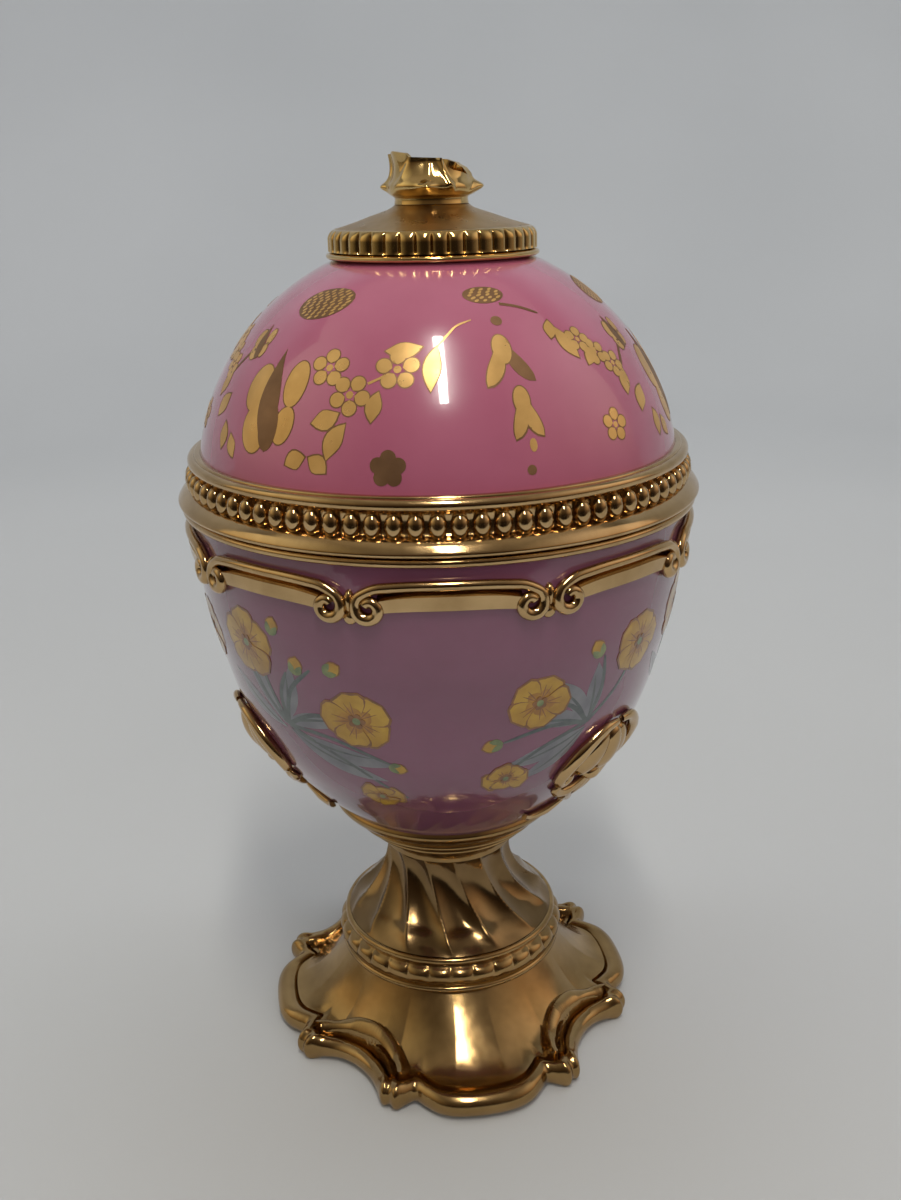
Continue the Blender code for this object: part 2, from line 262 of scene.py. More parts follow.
class Skin:
    """A turned surface that decoration lies on. Its line of (radius, height) runs upwards."""

    def __init__(self, line):
        line = np.array(line, float)
        self.radius, self.height = line[:, 0], line[:, 1]
        self.run = np.concatenate([[0], np.hypot(*np.diff(line, axis=0).T).cumsum()])
        lean = np.gradient(line, self.run, axis=0)
        self.out_r, self.out_z = lean[:, 1], -lean[:, 0]

    def at(self, bearing, height, right, up, lift):
        """Points right and up along the surface from a bearing and height, and their normals."""
        run = np.interp(height, self.height, self.run) + up
        radius = np.interp(run, self.run, self.radius)
        out_r = np.interp(run, self.run, self.out_r)
        out_z = np.interp(run, self.run, self.out_z)
        angle = np.radians(bearing) + right / radius
        level = np.interp(run, self.run, self.height)
        points = place(radius + out_r * lift, angle, level + out_z * lift)
        normals = place(out_r, angle, out_z) / MM
        return points, normals


# ---------------- materials

def noise(tree, scale, detail, rough=0.55):
    where = tree.nodes.new("ShaderNodeTexCoord")
    texture = tree.nodes.new("ShaderNodeTexNoise")
    texture.inputs["Scale"].default_value = scale
    texture.inputs["Detail"].default_value = detail
    texture.inputs["Roughness"].default_value = rough
    tree.links.new(where.outputs["Object"], texture.inputs["Vector"])
    return texture.outputs["Fac"]


def ramp(tree, source, *stops):
    """A colour ramp of (place, colour) stops."""
    node = tree.nodes.new("ShaderNodeValToRGB")
    marks = node.color_ramp.elements
    marks[0].position, marks[1].position = stops[0][0], stops[-1][0]
    marks[0].color, marks[1].color = (*stops[0][1], 1), (*stops[-1][1], 1)
    for where, colour in stops[1:-1]:
        marks.new(where).color = (*colour, 1)
    tree.links.new(source, node.inputs["Fac"])
    return node.outputs["Color"]


def bump(tree, shader, source, strength, distance):
    node = tree.nodes.new("ShaderNodeBump")
    node.inputs["Strength"].default_value = strength
    node.inputs["Distance"].default_value = distance
    tree.links.new(source, node.inputs["Height"])
    tree.links.new(node.outputs["Normal"], shader.inputs["Normal"])


def textured(name, dark, light, scale, detail=4.0, rough=0.55, spread=0.2, **sockets):
    """A material whose colour drifts between two tones. sockets are the shader's own values."""
    material = bpy.data.materials.new(name)
    material.use_nodes = True
    tree = material.node_tree
    shader = tree.nodes["Principled BSDF"]
    grain = noise(tree, scale, detail, rough)
    tone = ramp(tree, grain, (0.5 - spread, dark), (0.5 + spread, light))
    tree.links.new(tone, shader.inputs["Base Color"])
    for socket, value in sockets.items():
        shader.inputs[socket.replace("_", " ").title()].default_value = value
    return material, tree, shader


def glazed(name, dark, light):
    """Porcelain under a clear glaze: a faintly clouded ground and a slightly wavy gloss."""
    material, tree, shader = textured(name, dark, light, 60.0, roughness=0.22, coat_weight=1.0,
                                      coat_roughness=0.035)
    bump(tree, shader, noise(tree, 140.0, 2.0), 0.08, 0.0004)
    return material


def gilding(name, dark, light, roughness=0.13, wave=0.12, metallic=1.0):
    """Gilt with soft cloudy wear and a slightly uneven surface. Less than fully metallic, it is
    the fired gold powder of transfer work."""
    material, tree, shader = textured(name, dark, light, 120.0, 5.0, metallic=metallic)
    wear = tree.nodes.new("ShaderNodeMapRange")
    wear.inputs["To Min"].default_value = roughness * 0.7
    wear.inputs["To Max"].default_value = roughness * 1.5
    tree.links.new(noise(tree, 300.0, 3.0), wear.inputs["Value"])
    tree.links.new(wear.outputs["Result"], shader.inputs["Roughness"])
    bump(tree, shader, noise(tree, 90.0, 3.0), wave, 0.0008)
    return material


def paint(name, dark, light, scale=500.0):
    """Enamel colour painted under the glaze."""
    return textured(name, dark, light, scale, 3.0, spread=0.18, roughness=0.3, coat_weight=0.8,
                    coat_roughness=0.06)[0]


def plated_steel():
    """Zinc-plated steel with fine turning marks."""
    material, tree, shader = textured("plated_steel", (0.45, 0.45, 0.46), (0.62, 0.62, 0.63), 900.0,
                                      metallic=1.0, roughness=0.32)
    bump(tree, shader, noise(tree, 2500.0, 2.0), 0.15, 0.0001)
    return material


def pressed_felt():
    fibres = (1800.0, 8.0, 0.8)
    material, tree, shader = textured("felt", (0.03, 0.025, 0.025), (0.10, 0.08, 0.08), *fibres,
                                      roughness=0.95, sheen_weight=0.4)
    bump(tree, shader, noise(tree, *fibres), 0.6, 0.0003)
    return material


PINK = glazed("pink_glaze", (0.33, 0.084, 0.146), (0.375, 0.103, 0.173))
LAVENDER = glazed("lavender_glaze", (0.165, 0.056, 0.102), (0.202, 0.069, 0.127))
WHITE = glazed("white_glaze", (0.72, 0.70, 0.67), (0.78, 0.76, 0.73))
GOLD = gilding("burnished_gold", (0.47, 0.31, 0.145), (0.65, 0.45, 0.225))
# A darker copy of the gilt for the neck, knop and foot: painted shade and painted dark reflection,
# as the pedestal sits low under the cup.
PEDESTAL_SHADE_GOLD = gilding("pedestal_shade_gold", (0.30, 0.19, 0.078), (0.46, 0.30, 0.13), 0.17, 0.2)
# A darker copy still for the fluted stem: painted shade and painted dark reflection beneath the
# cup.
STEM_SHADE_GOLD = gilding("stem_shade_gold", (0.175, 0.11, 0.048), (0.29, 0.185, 0.085), 0.16, 0.2)
SATIN_GOLD = gilding("satin_gold", (0.43, 0.27, 0.10), (0.57, 0.37, 0.15), 0.28, 0.012)
# A lighter copy of the gilt for the crown's petals and the disc's ribs: painted highlight.
LIT_GOLD = gilding("lit_gold", (0.60, 0.40, 0.15), (0.80, 0.57, 0.25), 0.12, 0.05)
LEAF_GOLD = gilding("gold_transfer", (0.50, 0.285, 0.085), (0.74, 0.46, 0.165), 0.28, 0.05, 0.55)
DULL_GOLD = gilding("dull_gold_transfer", (0.17, 0.09, 0.045), (0.30, 0.17, 0.085), 0.4, 0.05, 0.7)
YELLOW = paint("yellow_enamel", (0.33, 0.17, 0.008), (0.48, 0.29, 0.022), 260.0)
ORANGE = paint("orange_enamel", (0.27, 0.115, 0.008), (0.40, 0.20, 0.015))
OCHRE_LINE = paint("ochre_line", (0.15, 0.06, 0.016), (0.24, 0.10, 0.024))
GREEN = paint("green_enamel", (0.08, 0.12, 0.05), (0.22, 0.26, 0.10))
TEAL = paint("teal_enamel", (0.045, 0.06, 0.065), (0.09, 0.12, 0.115))
WASH = paint("leaf_wash", (0.125, 0.125, 0.155), (0.20, 0.21, 0.23), 200.0)
STEEL = plated_steel()
FELT = pressed_felt()


# ---------------- lid

def dome_line(reach_low, reach_high, wall=0.0, count=72):
    """Profile of the dome from a lower, wider radius up to a smaller one."""
    across, rise = DOME_REACH - wall, DOME_RISE - wall
    start, stop = np.arccos(np.clip(np.array([reach_low, reach_high]) / across, 0, 1))
    angle = np.linspace(start, stop, count)
    return np.stack([across * np.cos(angle), DOME_EQUATOR + rise * np.sin(angle)], -1)


def make_dome():
    outside = dome_line(DOME_REACH, LID_SEAT_REACH)
    inner_reach = DOME_REACH - DOME_WALL
    share = (LID_CEILING - DOME_EQUATOR) / (DOME_RISE - DOME_WALL)
    inside = dome_line(inner_reach, inner_reach * np.sqrt(1 - share ** 2), DOME_WALL, 48)
    flange_out, flange_in = 40.6, 38.2
    skin = outline(
        (STUD_HOLE, LID_SEAT), (LID_SEAT_REACH - 0.3, LID_SEAT), outside[::-1],
        (DOME_REACH, SEAM),
    )
    lining = outline(
        (flange_out, SEAM), (flange_out, FLANGE_LOW + 0.6),
        arc(flange_out - 0.6, FLANGE_LOW + 0.6, 0.6, 0, -90, 6),
        arc(flange_in + 0.5, FLANGE_LOW + 0.5, 0.5, -90, -180, 6),
        inside, (STUD_HOLE, LID_CEILING),
    )
    turned("dome_porcelain", outline(skin, lining), [PINK, WHITE], "lid", ["lid_dome"],
           len(skin) - 1)


def dome_radius(height):
    share = np.clip((np.asarray(height) - DOME_EQUATOR) / DOME_RISE, 0, 1)
    return DOME_REACH * np.sqrt(1 - share ** 2)


def make_collar():
    top = COLLAR_TOP
    touch = np.linspace(SEAM, top, 8)
    profile = outline(
        (dome_radius(top) + 0.03, top), arc(42.75, top - 0.3, 0.32, 90, 0, 5),
        arc(43.25, top - 1.25, 0.98, 75, -55, 12),
        (43.5, top - 2.4), (43.3, top - 3.0), (43.3, SEAM + 3.2), (43.6, SEAM + 2.75),
        smooth_line([(43.6, SEAM + 2.75), (44.5, SEAM + 2.45), (45.5, SEAM + 1.8),
                     (46.1, SEAM + 1.1), (COLLAR_REACH - 0.05, SEAM + 0.55),
                     (COLLAR_REACH - 0.3, SEAM + 0.12), (45.6, SEAM)], 5),
        (44.3, SEAM),
        np.stack([dome_radius(touch) + 0.03, touch], -1)[:-1],
    )
    turned("collar_moulding", profile, [GOLD], "lid", ["lid_collar"])

    batch = Batch()
    across = np.linspace(0, 2 * np.pi, 17)
    down = np.linspace(0, np.pi, 11)
    side, level = np.meshgrid(across, down)
    middle, reach_out = SEAM + 4.15, 43.5
    for bead in range(BEADS):
        bearing = 2 * np.pi * bead / BEADS
        width = 1.42 * np.sin(level) ** 0.85 * np.cos(side)
        depth = 1.35 * np.sin(level) ** 0.85 * np.sin(side)
        points = place(reach_out + depth, bearing + width / reach_out, middle + 2.0 * np.cos(level))
        batch.add(points, sheet_faces(*side.shape))
    batch.piece("collar_beads", GOLD, "lid")


def make_finial_disc():
    """A cap with upright rounded ribs round its edge and a low ogee above them."""
    steps_per_rib, rib_depth = 14, 0.7
    bearing = np.linspace(0, 2 * np.pi, RIBS * steps_per_rib, endpoint=False)[:, None]
    cone = outline(
        (STUD_HOLE, DISC_TOP), (6.2, DISC_TOP),
        smooth_line([(6.2, DISC_TOP), (7.3, DISC_TOP - 0.7), (10.0, DISC_TOP - 1.6),
                     (13.2, DISC_TOP - 2.7), (16.2, DISC_TOP - 3.6)], 6),
    )
    profile = outline(
        cone, arc(16.2, DISC_TOP - 5.3, 1.6, 78, 0, 9, 1.7),
        np.stack([np.full(9, 17.8), np.linspace(DISC_TOP - 5.5, DISC_TOP - 7.2, 9)], -1),
        (17.2, DISC_TOP - 7.4),
        arc(17.3, DISC_TOP - 7.95, DISC_REACH - 17.3, 80, -60, 9, 0.55),
        (15.8, LID_SEAT - 0.25), (14.0, LID_SEAT + 1.5), (STUD_HOLE, LID_SEAT + 1.5),
    )
    level = profile[None, :, 1]
    ribbed = np.clip((DISC_TOP - 3.7 - level) / 0.9, 0, 1) * np.clip(
        (level - (DISC_TOP - 7.4)) / 0.5, 0, 1)
    ribbed = ribbed * (profile[None, :, 0] > 16.5)
    across = (bearing * RIBS / np.pi) % 2 - 1
    radius = profile[None, :, 0] - rib_depth * ribbed * (1 - np.sqrt(1 - across ** 2))
    finish_mesh("finial_cap", ring_bmesh(place(radius, bearing, level), len(cone)),
                [SATIN_GOLD, LIT_GOLD], "lid", ["finial_disc"])


def make_crown():
    """An open tulip of overlapping petals: small tips curl out below an uneven brim."""
    degrees = np.linspace(-180, 180, 288, endpoint=False)
    bearing = np.radians(degrees)[:, None]
    base = DISC_TOP + 0.05
    brim_marks = [-180, -135, -100, -70, -45, -37, -5, 20, 27, 38, 62, 84, 112, 150, 180]
    brim_drop = [1.1, 1.7, 0.4, 0.0, 0.35, 1.0, 1.15, 1.25, 2.3, 3.1, 3.6, 4.1, 2.9, 1.3, 1.1]
    brim = (CROWN_TOP - np.interp(degrees, brim_marks, brim_drop))[:, None]
    up = np.linspace(0, 1, 34)[None, :]
    height = base + (brim - base) * up
    shape = smooth_line([(6.3, 0), (6.2, 1.0), (6.9, 1.5), (7.25, 2.3), (7.15, 3.1), (6.4, 4.4),
                         (6.2, 6.2), (6.7, 8.4)], 5)
    body = np.interp(height - base, shape[:, 1], shape[:, 0])
    front = np.exp(-((degrees[:, None] + 5) / 36) ** 2)
    body = body - 1.7 * front * np.clip((height - base - 3.0) / 3.2, 0, 1.15)
    tip = np.clip(np.cos(4 * (bearing + np.radians(5))), 0, 1) ** 4
    outer = body + 1.1 * tip * np.exp(-((height - base - 2.75) / 0.75) ** 2)
    for middle in (-5, 115, -125):
        turn = (degrees[:, None] - middle + 180) % 360 - 180
        left, right = -68 + 36 * up ** 0.8, 44 - 17 * up
        cover = 1 / (1 + np.exp(-(turn - left) / 1.6)) / (1 + np.exp(-(right - turn) / 1.6))
        fold = np.exp(-((turn - right + 5) / 4) ** 2) + 0.5 * np.exp(-((turn - 2) / 5) ** 2)
        outer = outer + (0.5 * cover + 0.3 * fold) * np.clip(up * 4 - 1.0, 0, 1)
    inner_up = np.linspace(1, 0.45, 14)[None, :]
    inner_height = base + (brim - base) * inner_up
    inner = np.stack([np.interp(inner_up[0], up[0], row) for row in outer - 1.5 + 0.7 * up])
    steps = len(degrees)
    column = np.ones((steps, 1))
    floor = base + 3.4
    radius = np.concatenate([inner[:, ::-1], outer[:, ::-1], STUD_HOLE * column,
                             STUD_HOLE * column, 0.4 * column, 0.4 * column], 1)
    height = np.concatenate([np.maximum(inner_height[:, ::-1], floor), height[:, ::-1],
                             base * column, (floor - 1) * column, (floor - 1) * column,
                             floor * column], 1)
    finish_mesh("finial_petals", ring_bmesh(place(radius, bearing, height)), [LIT_GOLD],
                "lid", ["finial_crown"])


# ---------------- cup

def cup_line():
    """Outside of the cup from the neck ring up to the rim."""
    return smooth_line([
        (22.2, NECK_TOP + 0.3), (28.4, 55.3), (34.2, 63.0), (38.3, 72.0), (40.9, 81.0),
        (43.0, 90.0), (BOWL_REACH, 100.0), (BOWL_REACH, RIM),
    ], 14)


def make_cup():
    skin = cup_line()[::-1]
    edge_r, edge_z = skin[-1]
    foot_r = edge_r - 1.3 - (edge_z - CUP_BASE)
    inside = smooth_line([
        (10.5, CUP_FLOOR), (17.5, 50.3), (25.2, 56.6), (31.4, 64.5), (35.5, 73.5), (38.2, 82.5),
        (40.2, 92.0), (CUP_MOUTH, 100.0), (CUP_MOUTH, RIM - 0.6),
    ], 7)
    lining = outline(
        (BOLT_HOLE, CUP_BASE), (BOLT_HOLE, CUP_FLOOR), inside,
        arc(CUP_MOUTH + 0.6, RIM - 0.6, 0.6, 180, 90, 5),
    )
    under = outline((edge_r - 1.3, edge_z), (foot_r, CUP_BASE))
    turned("cup_porcelain", outline(skin, under, lining), [LAVENDER, WHITE], "base",
           ["cup_bowl"], len(skin) + 1)


def make_rim_band():
    middle = (BAND_BASE + RIM) / 2
    profile = outline(
        (BOWL_REACH + 0.03, RIM), (BAND_REACH - 0.8, RIM),
        arc(BAND_REACH - 0.72, middle, 0.6, 85, -85, 12, (RIM - BAND_BASE) / 2),
        (BOWL_REACH + 0.03, BAND_BASE),
    )
    turned("rim_fillet", profile, [GOLD], "base", ["cup_rim_band"])


def swag_path(side):
    """Half of a swag's roll: from its middle along the arch and round into the scroll.
    Gives millimetres right and up from the middle of the arch's top."""
    joint = 180.0 / SWAGS * np.radians(BOWL_REACH)
    along = np.linspace(0, 0.8, 12)
    arch = np.stack([joint * along, -1.7 * along ** 3], -1)
    turn = np.radians(np.linspace(62, -330, 34))
    curl = np.linspace(2.35, 0.75, 34)
    scroll = np.stack([joint - 3.25 + curl * np.cos(turn), -3.75 + curl * np.sin(turn)], -1)
    return smooth_line(np.vstack([arch[::2], scroll[::2]]), 3) * [side, 1]


def make_swags():
    skin = Skin(cup_line())
    batch = Batch()
    top = high("swag_frieze") - 0.95
    for swag in range(SWAGS):
        bearing = SWAG_MIDDLE + 360.0 * swag / SWAGS
        for side in (-1, 1):
            line = swag_path(side)
            share = np.linspace(0, 1, len(line))
            radii = np.interp(share, [0, 0.3, 0.5, 0.8, 1], [0.8, 0.85, 1.1, 0.95, 0.75])
            lift = np.interp(share, [0, 0.3, 0.5, 0.85, 1], [0.75, 0.8, 0.85, 0.8, 0.9])
            centres, normals = skin.at(bearing, top, line[:, 0], line[:, 1], lift)
            batch.add(*tube(centres, normals, radii * MM))
        along = np.linspace(-1, 1, 43)[:, None]
        down = np.linspace(0, 1, 9)[None, :]
        right = 10.9 * along + 0 * down
        upper = -0.7 - 1.0 * abs(along) ** 3
        lower = -4.35 - 0.5 * abs(along) ** 3
        level = upper + (lower - upper) * down
        raised = np.interp(down[0], [0, 0.1, 0.2, 0.86, 0.95, 1.0], [0.0, 0.25, 1.2, 1.0, 0.7, 0.0])
        crest = skin.at(bearing, top, right, level, raised[None, :] + 0 * along)[0]
        seat = skin.at(bearing, top, right, level, -0.15 + 0 * level)[0]
        batch.add(*slab(crest, seat))
        joint = bearing + 180.0 / SWAGS
        add_boss(batch, (skin, joint, top - 3.0), 0.9, 1.9, 1.1)
        add_boss(batch, (skin, joint, top - 5.6), 1.2, 1.3, 0.9)
    batch.piece("swag_reliefs", GOLD, "base", ["swag_frieze"])


def add_boss(batch, where, half_width, half_height, rise, tilt=0.0, at=(0, 0)):
    """A rounded boss, at millimetres right and up of where: a skin, a bearing and a height."""
    skin, bearing, height = where
    turn = np.append(np.linspace(0, 2 * np.pi, 24, endpoint=False), 0)[:, None]
    out = np.linspace(0, 1, 8)
    lift = np.append(rise * np.sqrt(1 - out ** 2), [-0.15, -0.15])
    out = np.append(out, [1, 0])[None, :]
    right = half_width * out * np.cos(turn)
    up = half_height * out * np.sin(turn)
    lean = np.radians(tilt)
    across = at[0] + right * np.cos(lean) - up * np.sin(lean)
    along = at[1] + right * np.sin(lean) + up * np.cos(lean)
    points = skin.at(bearing, height, across, along, lift[None, :] + 0 * turn)[0]
    batch.add(points, sheet_faces(*points.shape[:2]))


def make_ornaments():
    """Rococo cartouches: a smooth shell boss under two C-scrolls, over leaves that trail down."""
    skin = Skin(cup_line())
    scroll = smooth_line([(-0.6, 12.0), (-3.8, 11.5), (-7.0, 9.0), (-9.4, 5.4), (-10.0, 2.4),
                          (-9.0, 1.0), (-7.8, 1.5), (-8.0, 2.9)], 6)
    leaf = smooth_line([(-0.8, -1.5), (-3.5, -3.2), (-6.2, -3.4), (-8.6, -1.8), (-8.2, -0.6)], 5)
    neck_leaf = smooth_line([(-0.6, -9.5), (-3.2, -12.0), (-6.5, -12.6), (-9.0, -11.0)], 5)
    base = 62.0
    for side, bearing in ORNAMENTS.items():
        batch, where = Batch(), (skin, bearing, base)
        for hand in (1, -1):
            for line, thick in ((scroll, 1.5), (leaf, 1.2), (neck_leaf, 1.1)):
                share = np.linspace(0, 1, len(line))
                radii = thick * np.interp(share, [0, 0.35, 0.7, 1], [0.45, 1.0, 0.7, 0.5])
                centres, normals = skin.at(bearing, base, hand * line[:, 0], line[:, 1],
                                           0.55 * thick + 0 * radii)
                batch.add(*tube(centres, normals, radii * MM, 0.8))
            add_boss(batch, where, 2.7, 5.2, 2.0, hand * 20, (hand * 3.4, 5.4))
            add_boss(batch, where, 1.7, 3.8, 1.4, hand * -34, (hand * 2.8, -6.2))
        add_boss(batch, where, 3.0, 5.5, 2.5, 0, (0, 5.6))
        add_boss(batch, where, 2.4, 1.7, 2.0, 0, (0, -0.6))
        add_boss(batch, where, 1.6, 5.0, 1.4, 0, (0, -5.0))
        batch.piece("cup_scroll_" + side, GOLD, "base", ["ornament_" + side])


# ---------------- painted decoration

def polar(angle, reach):
    """A point in millimetres, at an angle in degrees anticlockwise from right."""
    turn = np.radians(angle)
    return reach * np.array([np.cos(turn), np.sin(turn)])


def ribbon(batch, where, spine, half_widths, lift):
    """A thin closed patch along a spine of millimetres right and up of where, which is a skin,
    a bearing and a height."""
    skin, bearing, height = where
    spine = np.array(spine, float)
    half_widths = np.broadcast_to(half_widths, len(spine))
    along = np.gradient(spine, axis=0)
    along /= np.linalg.norm(along, axis=1, keepdims=True) + 1e-9
    spine[0] -= 0.01 * along[0]     # patches that start at one point don't share an edge there
    across = np.stack([along[:, 1], -along[:, 0]], -1)
    columns = 2 * max(1, int(np.ceil(half_widths.max() / 0.9))) + 1
    side = np.linspace(-1, 1, columns)
    spread = spine[:, None] + across[:, None] * (half_widths[:, None] * side)[..., None]
    right, up = spread[..., 0], spread[..., 1]
    layers = [skin.at(bearing, height, right, up, depth + 0 * up)[0] for depth in (lift, -0.04)]
    batch.add(*slab(*layers))


def blade(batch, where, start, angle, length, half_width, lift, bend=0.0, round_end=1.0):
    """A leaf or petal. angle is in degrees from right; bend curves it; a round_end above 1
    moves its widest part towards the tip and blunts it."""
    count = max(7, int(length / 0.7))
    share = np.linspace(0, 1, count)
    heading = np.radians(angle + bend * (share - 0.5))
    step = np.stack([np.cos(heading), np.sin(heading)], -1) * length / (count - 1)
    spine = np.array(start) + np.vstack([[0, 0], step[:-1].cumsum(0)])
    widths = half_width * np.sin(np.pi * share ** round_end) ** (1 / round_end) + 0.03
    ribbon(batch, where, spine, widths, lift)


def curve(batch, where, points, half_width, lift):
    line = smooth_line(points, 6)
    taper = np.interp(np.linspace(0, 1, len(line)), [0, 0.8, 1], [1.0, 0.85, 0.45])
    ribbon(batch, where, line, half_width * taper, lift)


def oval(batch, where, at, across, tall, lean, lift):
    """An oval spot. lean turns it anticlockwise in degrees."""
    turn = np.linspace(0, np.pi, 13)
    spine = np.array(at) - np.outer(np.cos(turn), polar(lean, across))
    ribbon(batch, where, spine, tall * np.sin(turn) + 0.02, lift)


def dot(batch, where, at, radius, lift):
    oval(batch, where, at, radius, radius, 0, lift)


def gilded_leaf(gold, dull, where, angle, length, half_width, bend):
    """A leaf of gold with a fine darker line round it."""
    blade(dull, where, polar(angle, -0.3), angle, length + 0.6, half_width + 0.2, 0.03, bend)
    blade(gold, where, (0, 0), angle, length, half_width, 0.05, bend)


def gold_flower(gold, dull, where, size, spin):
    """Round petals about a small centre, each a spot of gold with a fine darker line round it."""
    spot = 0.35 * size
    for petal in range(PETALS):
        angle = spin + 360.0 * petal / PETALS
        dot(dull, where, polar(angle, 0.66 * size), spot + 0.18, 0.03)
        dot(gold, where, polar(angle, 0.66 * size), spot, 0.05)
        blade(gold, where, polar(angle, 0.26 * size), angle, 0.5 * size, spot * 0.8, 0.045)
    dot(gold, where, (0, 0), 0.18 * size, 0.05)


def gold_bell(near, far, dull, where, size, spread):
    """A hanging bell flower: a round crown and two lobes that flare at their ends. near colours the
    front lobe and far the one behind it; where far is the dull gold, that lobe is painted shade.
    """
    hang = 273                # degrees; 270 is straight down
    for side, cover, lift in ((1, far, 0.045), (-1, near, 0.055)):
        start = (0.03 * side * size, -0.02 * size)
        angle = hang + spread * side
        if cover is not dull:
            blade(dull, where, start, angle, 1.04 * size, 0.13 * size + 0.2, 0.03, 40 * side, 1.5)
        blade(cover, where, start, angle, size, 0.13 * size, lift, 40 * side, 1.5)
    oval(dull, where, (0, -0.26 * size), 0.16 * size + 0.2, 0.28 * size + 0.2, 0, 0.035)
    oval(near, where, (0, -0.26 * size), 0.16 * size, 0.28 * size, 0, 0.06)


def gold_butterfly(gold, dull, where, size):
    """Rounded wings stacked close on either side of a drop-shaped body of the duller gold."""
    wings = ((0.50, 0.36, 0.25, 0.46, 2), (0.48, -0.46, 0.23, 0.36, -8),
             (-0.46, 0.20, 0.30, 0.48, -12), (-0.28, -0.60, 0.34, 0.46, 8))
    for right, up, wide, tall, lean in wings:
        at = (right * size, up * size)
        oval(dull, where, at, wide * size + 0.2, tall * size + 0.2, lean, 0.03)
        oval(gold, where, at, wide * size, tall * size, lean, 0.05)
    blade(dull, where, (0.12 * size, -size), 96, 2.05 * size, 0.26 * size, 0.07, -12, 0.8)
    oval(dull, where, (0.1 * size, -0.5 * size), 0.25 * size, 0.48 * size, 4, 0.08)


def dull_medallion(gold, dull, where, across, tall, lean):
    """A dull oval worked over with rows of small brighter scales."""
    oval(dull, where, (0, 0), across, tall, lean, 0.04)
    rows = int(tall / 0.75)
    for row in range(-rows, rows + 1):
        up = row * tall / (rows + 1)
        half = np.sqrt(1 - (up / tall) ** 2) * across - 0.4
        count = max(1, int(half / 0.62))
        for k in range(count):
            along = (2 * (k + 0.5 + 0.2 * (row % 2)) / count - 1) * half
            at = polar(lean, along) + polar(lean + 90, up)
            oval(gold, where, at, 0.36 + 0.06 * ((row + 2 * k) % 3), 0.2, lean + 30, 0.055)


def lid_garland(gold, dull, skin, turn):
    """One third of the lid's gold transfer work, turned about the axis."""
    def at(bearing, height):
        return skin, bearing + turn, height

    for bearing, height, size, spin in ((-27, 134.5, 3.1, 90), (-20, 131, 3.2, 60),
                                        (-9, 134.5, 3.3, 20), (44, 124.5, 2.6, 10)):
        gold_flower(gold, dull, at(bearing, height), size, spin)
    for bearing, height, spin in ((43, 137, 0), (47, 135, 25), (52, 133, 50)):
        gold_flower(gold, dull, at(bearing, height), 2.3, spin)
    leaves = (  # bearing, height, direction, length, half width, bend
        (-3, 137.5, 186, 5.6, 1.35, -25), (1, 137.5, 262, 7.6, 1.25, 20),
        (-13, 131.5, 262, 4.8, 1.2, 20), (-22, 128.5, 200, 4.8, 1.5, -30),
        (-20, 127.0, 247, 6.2, 1.4, 35), (-29, 122.0, 205, 3.8, 1.4, 25),
        (-28, 122.0, 325, 3.8, 1.4, -20), (37, 139.0, 290, 6.2, 1.3, 20),
        (36, 140.0, 250, 3.6, 1.0, -10), (48, 135.5, 220, 4.4, 1.1, 30),
        (55, 132.0, 250, 4.6, 1.2, 20), (-60, 129.0, 240, 4.8, 1.4, 30),
        (-58, 125.0, 270, 4.4, 1.2, -30), (-54, 123.5, 300, 4.0, 1.1, 25),
    )
    for bearing, height, angle, length, width, bend in leaves:
        gilded_leaf(gold, dull, at(bearing, height), angle, length, width, bend)
    # This bell's far lobe is the dull gold: painted shade.
    gold_bell(gold, dull, dull, at(18, 138.5), 9.0, 26)
    gold_bell(gold, gold, dull, at(20, 131.5), 8.0, 17)
    curve(gold, at(1, 137.5), [(0, 0), (1.6, 2.0), (3.0, 3.6), (5.2, 4.6)], 0.2, 0.05)
    curve(gold, at(-14, 133), [(-1.2, -0.5), (0.2, 0.2), (1.4, 0.9)], 0.22, 0.05)
    curve(dull, at(33, 141.5), [(-5.0, 1.9), (-2.2, 1.0), (0.6, -0.6)], 0.3, 0.05)
    curve(dull, at(-58, 135), [(-4.0, -3.0), (-1.0, 0.5), (2.5, 2.6)], 0.3, 0.05)
    for bearing, height, size in ((19, 140.5, 0.9), (20, 120.0, 0.75)):
        dot(dull, at(bearing, height), (0, 0), size, 0.05)
    oval(gold, at(21, 123.5), (0, 0), 0.6, 1.0, 0, 0.05)
    for lobe in range(PETALS):
        dot(dull, at(-10, 121), polar(90 + 72 * lobe, 1.6), 1.2, 0.05 + 0.004 * lobe)
    dot(dull, at(-10, 121), (0, 0), 1.3, 0.08)
    gold_butterfly(gold, dull, at(-42, 129.5), 8.2)
    gold_butterfly(gold, dull, at(-57, 137), 3.2)
    dull_medallion(gold, dull, at(-40, 143), 5.2, 3.4, 16)
    dull_medallion(gold, dull, at(18, 144), 3.3, 1.9, 0)


def paint_lid():
    skin = Skin(dome_line(DOME_REACH, LID_SEAT_REACH, 0.0, 90))
    gold, dull = Batch(), Batch()
    for turn in (0, 120, 240):
        lid_garland(gold, dull, skin, turn)
    gold.piece("lid_gold_transfer", LEAF_GOLD, "lid")
    dull.piece("lid_dull_transfer", DULL_GOLD, "lid")


